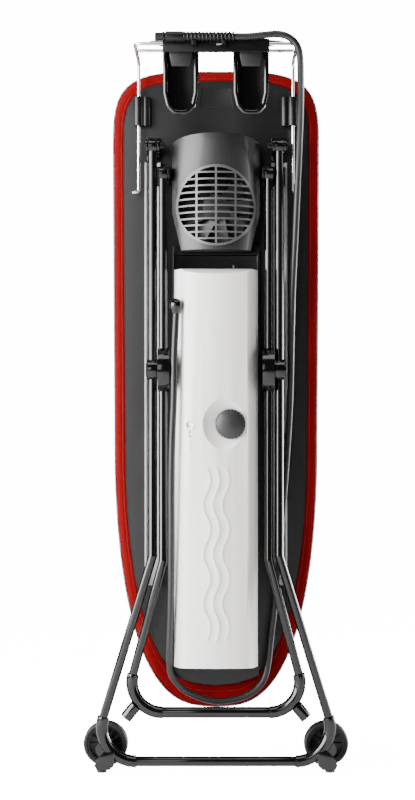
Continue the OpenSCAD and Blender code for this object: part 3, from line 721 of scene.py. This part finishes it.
def ring_run(
    name: str, start: Vector, end: Vector, count: int, radius: float, thickness: float,
    material: bpy.types.Material
) -> bpy.types.Object:
    """Round ribs spaced evenly along a straight line.

    Args:
        name: the piece's name.
        start: the first rib's centre.
        end: the last rib's centre.
        count: how many ribs there are.
        radius: a rib's outer radius.
        thickness: a rib's thickness.
        material: the ribs' material.

    Returns:
        The new piece.
    """
    builder = NodeBuilder(f"{name}_tree", {"Radius": radius, "Thickness": thickness})
    graph = builder.graph
    given = builder.given.outputs
    half = graph.math("MULTIPLY", given["Thickness"], 0.5)
    hoop = graph.add("GeometryNodeCurvePrimitiveCircle", Resolution=32,
                     Radius=graph.math("SUBTRACT", given["Radius"], half))
    section = graph.add("GeometryNodeCurvePrimitiveCircle", Resolution=10, Radius=half)
    rib = graph.add("GeometryNodeCurveToMesh", Curve=hoop.outputs[0],
                    Profile_Curve=section.outputs[0])
    rows, turn = builder.copies(given["Geometry"], rib.outputs[0])
    turn.inputs["Vector"].default_value = tuple((end - start).normalized())
    builder.close(rows.outputs[0], material)
    path = [start.lerp(end, k / (count - 1)) for k in range(count)]
    return builder.bake(line_carrier(f"{name}_path", path, False), name)


# ---------------------------------------------------------------- sub-assemblies


@dataclass
class BoardShape:
    """The board's outline: a blunt nose, straight flanks and a squared-off top."""

    plane: float
    half: float
    top: float
    nose: float
    waist_loss: float = 0.003
    waist_share: float = 0.42
    shoulder_drop: float = 0.155
    flank_steps: int = 40
    curve_steps: int = 48

    @classmethod
    def from_frame(cls) -> BoardShape:
        """Reads the outline's size from the covered board."""
        low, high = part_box("cover")
        return cls(plane=low[1], half=high[0], top=high[2], nose=low[2])

    def half_outline(self, side: float, nose: float) -> list[tuple[float, float]]:
        """Right half of the outline as (x, z), from the nose to the top.

        Args:
            side: inset at the flanks and the top.
            nose: inset at the nose.

        Returns:
            The points, the first and last on the centre line.
        """
        length = self.top - self.nose
        waist_z = self.nose + self.waist_share * length
        shoulder_z = self.top - self.shoulder_drop
        waist = self.half - self.waist_loss - side
        flank = self.half - side
        low_z, high_z = self.nose + nose, self.top - side
        points = []
        for k in range(self.curve_steps + 1):
            t = 1 - k / self.curve_steps
            a = math.pi / 2 * t ** 1.5
            points.append((waist * max(0.0, math.cos(a)) ** 0.7,
                           waist_z - (waist_z - low_z) * math.sin(a) ** 0.91))
        for k in range(1, self.flank_steps):
            t = k / self.flank_steps
            points.append((waist + (flank - waist) * t, waist_z + (shoulder_z - waist_z) * t))
        for k in range(self.curve_steps + 1):
            a = math.pi / 2 * (k / self.curve_steps) ** 1.5
            points.append((flank * math.sqrt(max(0.0, math.cos(a))),
                           shoulder_z + (high_z - shoulder_z) * math.sqrt(math.sin(a))))
        points[0], points[-1] = (0.0, points[0][1]), (0.0, points[-1][1])
        return points

    def ring(self, side: float, nose: float, depth: float) -> Ring:
        """Whole outline at a depth in front of the underside.

        Args:
            side: inset at the flanks and the top.
            nose: inset at the nose.
            depth: distance from the underside towards the legs.

        Returns:
            The closed ring's points.
        """
        right = self.half_outline(side, nose)
        y = self.plane - depth
        left = [(-x, z) for x, z in right[-2:0:-1]]
        return [Vector((x, y, z)) for x, z in right + left]


@dataclass
class SteamCord:
    """The steam cord, hung in one loop from its gland to the connector on the rack."""

    shape: BoardShape
    diameter: float = 0.012
    length: float = 2.145
    sides: int = 20
    steps: int = 8
    stretch_from: float = 0.90
    stretch_to: float = 1.272
    stretch_x: float = 0.14

    # Centre line as (x, depth, z) in millimetres, the same as the CAD solid's.
    ROUTE = (
        (-71.5, 92, 830), (-73, 92, 800), (-75, 91, 750), (-76, 88, 675), (-79, 84, 603),
        (-80.5, 79, 520), (-80.5, 75, 440), (-81, 70, 370), (-82, 65, 305), (-84, 58, 240),
        (-84.5, 51, 202), (-81, 45, 174), (-63, 39, 150), (-38, 33, 134), (0, 29, 123),
        (38, 27, 127), (68, 25, 140), (88, 24, 163), (96, 24, 195), (101, 24, 240),
        (109, 24, 308), (115, 24, 372), (120, 24, 436), (129, 24, 556), (136, 24, 675),
        (138, 32, 784), (140, 42, 880), (144, 52, 970), (147, 64, 1050), (149.5, 84, 1124),
        (150.5, 118, 1190), (149, 152, 1232), (147, 176, 1262), (143.5, 187, 1283),
        (135, 190, 1297), (121, 191, 1306), (104, 191, 1309), (80, 191, 1307),
        (56, 190, 1305), (33, 190, 1305),
    )

    def path(self) -> list[Vector]:
        """The smooth centre line through the route's points."""
        points = [Vector((x * MM, self.shape.plane - d * MM, z * MM)) for x, d, z in self.ROUTE]
        smooth = []
        last = len(points) - 1
        for k in range(last):
            a, b = points[max(k - 1, 0)], points[k]
            c, d = points[k + 1], points[min(k + 2, last)]
            for s in range(self.steps):
                t = s / self.steps
                smooth.append(0.5 * (
                    2 * b + (c - a) * t + (2 * a - 5 * b + 4 * c - d) * t * t
                    + (3 * b - a - 3 * c + d) * t ** 3))
        smooth.append(points[last])
        return smooth

    def build(self, library: ShaderLibrary, pieces_on_it: Sequence[object]) -> bpy.types.Object:
        """Args:
            library: the shared shader groups.
            pieces_on_it: the relief and the connector; not used.

        Returns:
            The cord.
        """
        path = self.path()
        cord = loft("steam_cord_tube", tube_rings(path, self.diameter / 2, self.sides), degrees=60)
        dress(cord, SHEATH, library)
        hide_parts("steam_cord")
        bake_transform(cord)
        return cord


@dataclass
class RibbedRelief:
    """The ribbed bend relief at the cord's end, docked on the rack."""

    ribs: int = 14
    rib_thickness: float = 0.0042

    def build(self, library: ShaderLibrary) -> list[bpy.types.Object]:
        """Makes the tapered core and its ribs.

        Args:
            library: the shared shader groups.

        Returns:
            The two pieces.
        """
        low, high = span("cord_relief")
        middle = (low + high) / 2
        outer = (high.z - low.z) / 2
        ends = [Vector((x, middle.y, middle.z)) for x in (high.x, low.x)]
        core_r = outer - 0.0016
        profile = ((0.0, 0.70), (0.02, 0.86), (0.5, 0.94), (0.98, 1.0), (1.0, 0.92))
        rings = []
        for share, scale in profile:
            centre = ends[0].lerp(ends[1], share)
            rings.append([
                centre + core_r * scale * Vector((0, math.cos(a), math.sin(a)))
                for a in (math.tau * s / 24 for s in range(24))])
        core = loft("relief_core", rings, degrees=50)
        settle(core, Body.RACK.value, BLACK, library)
        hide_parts("cord_relief")
        inset = self.rib_thickness / 2
        ribs = ring_run(
            "relief_ribs", ends[0] - Vector((inset + 0.001, 0, 0)),
            ends[1] + Vector((inset, 0, 0)), self.ribs, outer, self.rib_thickness,
            BLACK.material(library))
        settle(ribs, Body.RACK.value, BLACK, library)
        return [core, ribs]


@dataclass
class BoardCover:
    """The red cotton cover with its gathered hem, and the felt under it."""

    shape: BoardShape
    hem_side: float = 0.021
    hem_nose: float = 0.043
    seam_side: float = 0.0165
    seam_nose: float = 0.0318
    seam_depth: float = 0.0016
    stitch_pitch: float = 0.0042
    stitch_length: float = 0.0028
    thread_radius: float = 0.00035
    flat_size: tuple[float, float] = (0.50, 1.30)
    felt_fill: float = 0.9
    pucker: float = 0.0007
    puckered_rows: int = 9
    seed: int = 11

    # Rows from the hem round the edge to the ironing surface, as (inset, depth).
    ROWS = (
        (0.0002, -0.0020), (0.0, 0.0004), (-0.0012, 0.0012), (-0.0030, 0.0012),
        (-0.0042, 0.0004), (-0.0050, 0.0008), (-0.0080, 0.0010), (-0.0120, 0.0006),
        (-0.0158, -0.0008), (-0.0184, -0.0034), (-0.0202, -0.0075), (-0.0210, -0.0130),
        (-0.0210, -0.0220), (-0.0210, -0.0330), (-0.0204, -0.0380), (-0.0188, -0.0418),
        (-0.0160, -0.0440), (-0.0120, -0.0448), (-0.0050, -0.0450), (0.0160, -0.0450),
        (0.0500, -0.0450), (0.0900, -0.0450), (0.1200, -0.0450),
    )

    def rows(self) -> list[Ring]:
        """The cover's rings, with the hem's puckers."""
        draw = random.Random(self.seed)
        phases = [draw.uniform(0, math.tau) for _ in range(3)]
        rings = []
        for number, (grow, depth) in enumerate(self.ROWS):
            share = min(1.0, max(0.0, -grow / self.hem_side))
            nose = self.hem_nose * (1 - share) if grow <= 0 else self.hem_nose + grow
            ring = self.shape.ring(self.hem_side + grow, nose, depth)
            fade = max(0.0, 1 - number / self.puckered_rows)
            run = 0.0
            for k, point in enumerate(ring):
                run += (point - ring[k - 1]).length if k else 0.0
                turn = ring[k - 1] - 2 * point + ring[(k + 1) % len(ring)]
                tight = min(1.0, turn.length * 900)
                wave = (math.sin(run * 190 + phases[0]) + math.sin(run * 340 + phases[1])
                        + math.sin(run * 83 + phases[2]))
                point.y -= self.pucker * fade * wave * (0.25 + 0.6 * tight)
            rings.append(ring)
        return rings

    def lay_out(self, cover: bpy.types.Object) -> None:
        """Gives the cloth a UV map in metres: planar on the flat, along the edge elsewhere."""
        layer = cover.data.uv_layers.new(name="cloth")
        for face in cover.data.polygons:
            flat = abs(face.normal.y) > 0.8
            for loop in face.loop_indices:
                p = cover.data.vertices[cover.data.loops[loop].vertex_index].co
                along = p.z if abs(face.normal.x) > 0.6 else p.x
                layer.data[loop].uv = (p.x, p.z) if flat else (along, p.y)

    def build(self, library: ShaderLibrary) -> None:
        """Args:
            library: the shared shader groups.
        """
        cover = loft("cotton_cover", self.rows(), closed_ends=False, degrees=80)
        work = bmesh.new()
        work.from_mesh(cover.data)
        back = [e for e in work.edges if e.is_boundary and e.verts[0].co.y > self.shape.plane + 0.03]
        bmesh.ops.contextual_create(work, geom=back)
        work.normal_update()
        work.to_mesh(cover.data)
        work.free()
        cover.data.shade_smooth()
        self.lay_out(cover)
        settle(cover, Body.BOARD.value, COTTON, library)
        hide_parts("cover")
        seam = self.shape.ring(self.seam_side, self.seam_nose, self.seam_depth)
        stitches = stitch_run(
            "hem_stitches", seam, self.stitch_pitch, self.stitch_length, self.thread_radius,
            THREAD.material(library))
        settle(stitches, Body.BOARD.value, THREAD, library)
        self.build_felt(library)

    def build_felt(self, library: ShaderLibrary) -> None:
        """Makes the felt pad under the cover."""
        low, high = span("felt_pad")
        inset = self.shape.half - high.x
        thick = high.y - low.y
        profile = ((0.006, 0.0), (0.002, 0.0012), (0.0003, 0.004), (0.0003, thick - 0.004),
                   (0.002, thick - 0.0012), (0.007, thick - 0.0003))
        rings = [
            self.shape.ring(inset + s, inset + s, self.shape.plane - low.y - back)
            for s, back in profile]
        felt = loft("felt_block", rings, degrees=70)
        layer = felt.data.uv_layers.new(name="cloth")
        for loop in felt.data.loops:
            p = felt.data.vertices[loop.vertex_index].co
            layer.data[loop.index].uv = (p.x + p.y, p.z)
        settle(felt, Body.BOARD.value, PRESSED_FELT, library)
        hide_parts("felt_pad")


@dataclass
class Rack:
    """The slide-out chrome rack with its iron rest and two cord hooks."""

    bend: float = 0.014
    hook_wire: float = 0.0048
    hook_bend: float = 0.012
    hook_taper: float = 0.034
    panel_thick: float = 0.0028
    panel_columns: int = 16
    panel_rows: int = 18
    flap_drop: float = 0.040
    flap_thick: float = 0.0016

    # The flap's rows from its top to its free edge, as (share of its drop, push to the front).
    FLAP_ROWS = ((0.0, -0.0046), (0.15, -0.0058), (0.55, -0.0050), (0.92, -0.0028), (1.0, -0.0016))

    def wires(self, library: ShaderLibrary) -> None:
        """Makes the main wire, from one lower end over the front to the other, and the bow.

        Args:
            library: the shared shader groups.
        """
        rod_low, rod_high = span("rack_rod_r")
        cross_low, cross_high = span("rack_cross")
        radius = (rod_high.y - rod_low.y) / 2
        rod_y = (rod_low.y + rod_high.y) / 2
        x = span("rack_arm_r")[1].x - radius
        top = (cross_low.z + cross_high.z) / 2
        front = cross_low.y + radius
        bottom = rod_low.z + radius
        half = [Vector((rod_high.x, rod_y, bottom)), Vector((x, rod_y, bottom)),
                Vector((x, rod_y, top)), Vector((x, front, top))]
        mirrored = [Vector((-p.x, p.y, p.z)) for p in reversed(half)]
        main = rounded_tube("rack_wire", half + mirrored, radius, self.bend)
        bow_y = cross_high.y - radius
        bow = rounded_tube(
            "rack_bow", [Vector((-x + radius, bow_y, top)), Vector((x - radius, bow_y, top))],
            radius, self.bend)
        for piece in (main, bow):
            settle(piece, Body.RACK.value, CHROME, library)
        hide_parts("rack_rod_l", "rack_rod_r", "rack_arm_l", "rack_arm_r", "rack_cross")

    def hook(self, side: Side, library: ShaderLibrary) -> None:
        """Makes one cord hook: a bent rim round a dished panel.

        Args:
            side: left or right.
            library: the shared shader groups.
        """
        node = "hook_l" if side is Side.LEFT else "hook_r"
        low, high = span(node)
        y = (low.y + high.y) / 2
        r = self.hook_wire
        x0, x1, z = low.x + r, high.x - r, low.z + r
        drops = ((0.0, high.z - r), (0.0, z + self.hook_taper), (0.005, z + 0.012), (0.016, z))
        corners = [Vector((x0 + inset, y, height)) for inset, height in drops]
        corners += [Vector((x1 - inset, y, height)) for inset, height in reversed(drops)]
        rim = rounded_tube(f"{node}_rim", corners, r, self.hook_bend)
        rings = []
        for j in range(self.panel_rows + 1):
            v = j / self.panel_rows
            z_at = z + 0.002 + (high.z - z - 0.002) * v
            taper = 0.001 + 0.014 * max(0.0, 1 - (z_at - z) / self.hook_taper) ** 1.6
            left, right = x0 + taper, x1 - taper
            slope = 0.0035 * max(0.0, v - 0.72) / 0.28
            face = []
            for i in range(self.panel_columns + 1):
                u = i / self.panel_columns
                dish = 0.003 * math.sin(math.pi * u) ** 0.6 * min(1.0, 3 * v) ** 0.8
                face.append(Vector((left + (right - left) * u,
                                    y + dish - self.panel_thick / 2 - slope, z_at)))
            rings.append(face + [p + Vector((0, self.panel_thick, 0)) for p in reversed(face)])
        panel = loft(f"{node}_panel", rings, degrees=50)
        for piece, finish in ((rim, GLOSS), (panel, DEEP)):
            settle(piece, Body.RACK.value, finish, library)
        self.flap(node, (left, right), y, high.z, library)
        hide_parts(node)

    def flap(
        self, node: str, across: tuple[float, float], y: float, top: float, library: ShaderLibrary
    ) -> None:
        """Makes the satin flap that folds down over a hook's upper third.

        Args:
            node: the hook's name.
            across: its two sides.
            y: the hook's middle.
            top: the height that it hangs from.
            library: the shared shader groups.
        """
        left, right = across[0] + 0.006, across[1] - 0.006
        rings = []
        for share, push in self.FLAP_ROWS:
            z = top - 0.001 - self.flap_drop * share
            inset = 0.005 * max(0.0, share - 0.8) / 0.2
            front, back = y + push, y + push + self.flap_thick
            rings.append([
                Vector((left + inset, front + 0.0006, z)), Vector((left + inset + 0.002, front, z)),
                Vector((right - inset - 0.002, front, z)), Vector((right - inset, front + 0.0006, z)),
                Vector((right - inset, back, z)), Vector((left + inset, back, z))])
        flap = loft(f"{node}_flap", rings, degrees=45)
        settle(flap, Body.RACK.value, FLAP, library)

    def build(self, library: ShaderLibrary, cad: CadFinisher) -> None:
        """Makes the whole rack.

        Args:
            library: the shared shader groups.
            cad: the finisher for CAD nodes.
        """
        self.wires(library)
        for side in Side:
            self.hook(side, library)
        cad.soften("rest_tray", BLACK, 0.0012)
        cad.soften("dock_clips", BLACK, 0.0008)


@dataclass
class Housing:
    """The underside shell, tray, casing and blower, with the casing's small marks."""

    mark_radius: float = 0.0055
    mark_relief: float = 0.0003
    mark_share: float = 0.62
    mark_set_back: float = 0.0105
    mark_lean: float = 0.24

    def marks(self, library: ShaderLibrary) -> None:
        """Prints a plain ring and two dots on the casing, beside the knob.

        Args:
            library: the shared shader groups.
        """
        low = span("casing")[0]
        x = low.x * self.mark_share
        y = low.y + self.mark_set_back
        knob_z = sum(c.z for c in span("drain_knob")) / 2
        points, faces = [], []

        def washer(z: float, inner: float, outer: float) -> None:
            """Adds one flat ring, or a disc where the inner radius is nearly nothing."""
            sides, base = 28, len(points)
            for r, lift in ((inner, 0), (outer, 0), (outer, 1), (inner, 1)):
                for k in range(sides):
                    a = math.tau * k / sides
                    points.append((x + r * math.cos(a), y - lift * self.mark_relief
                                   - self.mark_lean * r * math.cos(a), z + r * math.sin(a)))
            for k in range(sides):
                t = (k + 1) % sides
                for q in range(4):
                    n = (q + 1) % 4
                    faces.append((base + q * sides + k, base + q * sides + t,
                                  base + n * sides + t, base + n * sides + k))

        r = self.mark_radius
        washer(knob_z, r * 0.72, r)
        for drop in (2.6, 3.9):
            washer(knob_z - drop * r, r * 0.02, r * 0.3)
        mark = piece_from("casing_marks", points, faces)
        settle(mark, Body.BOARD.value, BLACK, library)

    def build(self, library: ShaderLibrary, cad: CadFinisher) -> None:
        """Makes the housing's pieces.

        Args:
            library: the shared shader groups.
            cad: the finisher for CAD nodes.
        """
        for node, finish, edge, degrees in (
                ("board_base", SHELL, 0.0012, 35), ("tray", BLACK, 0.0010, 35),
                ("casing", CASING, 0.0008, 30), ("fan_hood", HOOD, 0.0012, 35),
                ("fan_grille", GRILLE, 0.0, 35), ("fan_rotor", HOOD, 0.0004, 35),
                ("fan_motor", PLATED, 0.0006, 35), ("drain_knob", HOOD, 0.0, 35),
                ("cord_gland", GLOSS, 0.0, 35)):
            cad.soften(node, finish, edge, degrees)
        self.marks(library)


@dataclass
class Mechanism:
    """The CAD nodes that keep their shape and only get softer edges and a finish."""

    PLAIN = {
        "deck": (PLATED, 0.0), "boiler": (STEEL, 0.0006), "water_tank": (MILKY, 0.0012),
        "water_pump": (BLACK, 0.0006), "steam_valve": (BRASS, 0.0006),
        "control_board": (CIRCUIT, 0.0), "steam_pipe": (BRASS, 0.0),
        "mains_inlet": (BLACK, 0.0006), "drain_plug": (BRASS, 0.0004),
        "hinge_pins": (BLACK, 0.0006),
        "outer_discs": (GLOSS, 0.0060), "pivot_caps": (GLOSS, 0.0010),
        "inner_discs": (GLOSS, 0.0050), "outer_bar": (ENAMEL, 0.0006),
        "inner_bar": (ENAMEL, 0.0006), "outer_feet": (TYRE, 0.0008),
    }
    PAIRED = {
        "sleeve": (BLACK, 0.0010), "rail": (RAIL, 0.0004), "bracket": (ENAMEL, 0.0008),
        "slider": (BLACK, 0.0008), "outer_tube": (ENAMEL, 0.0006),
        "outer_corner": (GLOSS, 0.0030), "wheel_hub": (BLACK, 0.0004),
        "tyre": (TYRE, 0.0008), "inner_tube": (ENAMEL, 0.0006), "inner_corner": (GLOSS, 0.0030),
    }

    def build(self, cad: CadFinisher) -> None:
        """Finishes every remaining node.

        Args:
            cad: the finisher for CAD nodes.
        """
        for node, (finish, edge) in self.PLAIN.items():
            cad.soften(node, finish, edge)
        for stem, (finish, edge) in self.PAIRED.items():
            for end in ("l", "r"):
                cad.soften(f"{stem}_{end}", finish, edge)


@dataclass
class Studio:
    """A pale floor, soft lights and the camera."""

    shape: BoardShape
    distance: float = 3.0
    view_height: float = 1.48
    eye_height: float = 0.675
    shift: float = -0.0106
    floor_reach: float = 14.0
    paper_glow: float = 15.0
    air_glow: float = 0.09

    def camera(self) -> None:
        """Places the camera level with the middle of the board."""
        data = bpy.data.cameras.new("camera")
        data.sensor_width = 36.0
        data.lens = data.sensor_width * self.distance / self.view_height
        data.shift_x = self.shift
        camera = new_object("camera", data)
        camera.location = (0.0, self.shape.plane - self.distance, self.eye_height)
        camera.rotation_euler = (math.pi / 2, 0, 0)
        bpy.context.scene.camera = camera

    def stage(self) -> None:
        """Lays a flat floor, with no wall that could stand in the way of a view from behind."""
        reach = self.floor_reach
        points = [(-reach, -reach, 0.0), (reach, -reach, 0.0), (reach, reach, 0.0), (-reach, reach, 0.0)]
        faces = [(0, 1, 2, 3)]
        mesh = bpy.data.meshes.new("studio_floor")
        mesh.from_pydata(points, [], faces)
        floor = new_object("studio_floor", mesh)
        material, graph, shader = new_material(
            "studio_paper", Roughness=0.9, Base_Color=(0.90, 0.90, 0.90, 1),
            Emission_Color=(1, 1, 1, 1))
        seen = graph.add("ShaderNodeLightPath").outputs["Is Camera Ray"]
        graph.join(graph.math("MULTIPLY", seen, self.paper_glow), shader.inputs["Emission Strength"])
        mesh.materials.append(material)

    def light(
        self, name: str, place: Point, aim: Point, width: float, height: float, power: float
    ) -> None:
        """Adds one soft rectangular light.

        Args:
            name: the light's name.
            place: where it stands.
            aim: the point it faces.
            width: its width.
            height: its height.
            power: its power in watts.
        """
        data = bpy.data.lights.new(name, "AREA")
        data.shape = "RECTANGLE"
        data.size, data.size_y = width, height
        data.energy = power
        lamp = new_object(name, data)
        lamp.location = place
        heading = Vector(aim) - Vector(place)
        lamp.rotation_mode = "QUATERNION"
        lamp.rotation_quaternion = heading.to_track_quat("-Z", "Y")

    def air(self) -> None:
        """Lights the scene faintly from all round, with a white sky for the camera."""
        world = bpy.data.worlds.new("studio_air")
        bpy.context.scene.world = world
        world.use_nodes = True
        graph = Graph(world.node_tree)
        seen = graph.add("ShaderNodeLightPath").outputs["Is Camera Ray"]
        glow = graph.math("ADD", graph.math("MULTIPLY", seen, self.paper_glow), self.air_glow)
        sky = graph.add("ShaderNodeBackground", Color=(1.0, 1.0, 1.0, 1), Strength=glow)
        graph.add("ShaderNodeOutputWorld", Surface=sky.outputs[0])

    def build(self) -> None:
        """Sets up the floor, the lights and the sky."""
        self.stage()
        middle = (0.0, 0.0, 0.7)
        for name, place, aim, width, height, power in (
                ("key", (-2.5, -1.3, 1.35), middle, 3.0, 2.3, 430.0),
                ("panel", (-0.95, -3.4, 1.5), middle, 0.8, 1.6, 14.0),
                ("side", (2.5, -0.35, 1.0), middle, 0.3, 1.9, 26.0),
                ("rim", (2.2, 1.3, 0.42), (0.0, 0.0, 0.45), 1.0, 0.9, 130.0),
                ("overhead", (0.0, -0.8, 3.1), middle, 1.8, 1.2, 24.0)):
            self.light(name, place, aim, width, height, power)
        self.air()


def build_all(frame: dict) -> None:
    """Builds every sub-assembly in order.
    """
    shape = BoardShape.from_frame()
    studio = Studio(shape)
    studio.camera()
    library = ShaderLibrary()
    cad = CadFinisher(library, frame)
    relief = RibbedRelief().build(library)
    connector = cad.soften("steam_connector", BLACK, 0.0007)
    SteamCord(shape).build(library, [*relief, connector])
    BoardCover(shape).build(library)
    Housing().build(library, cad)
    Rack().build(library, cad)
    Mechanism().build(cad)
    studio.build()


def corners(bounds: Iterable[Vector]) -> list[list[float]]:
    """Two corners as plain lists of numbers."""
    return [[float(x) for x in corner] for corner in bounds]


def main() -> None:
    """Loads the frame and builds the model."""
    logging.basicConfig(level=logging.INFO, format="%(name)s: %(message)s")
    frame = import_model()
    build_all(frame)
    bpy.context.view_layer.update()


if __name__ == "__main__":
    main()
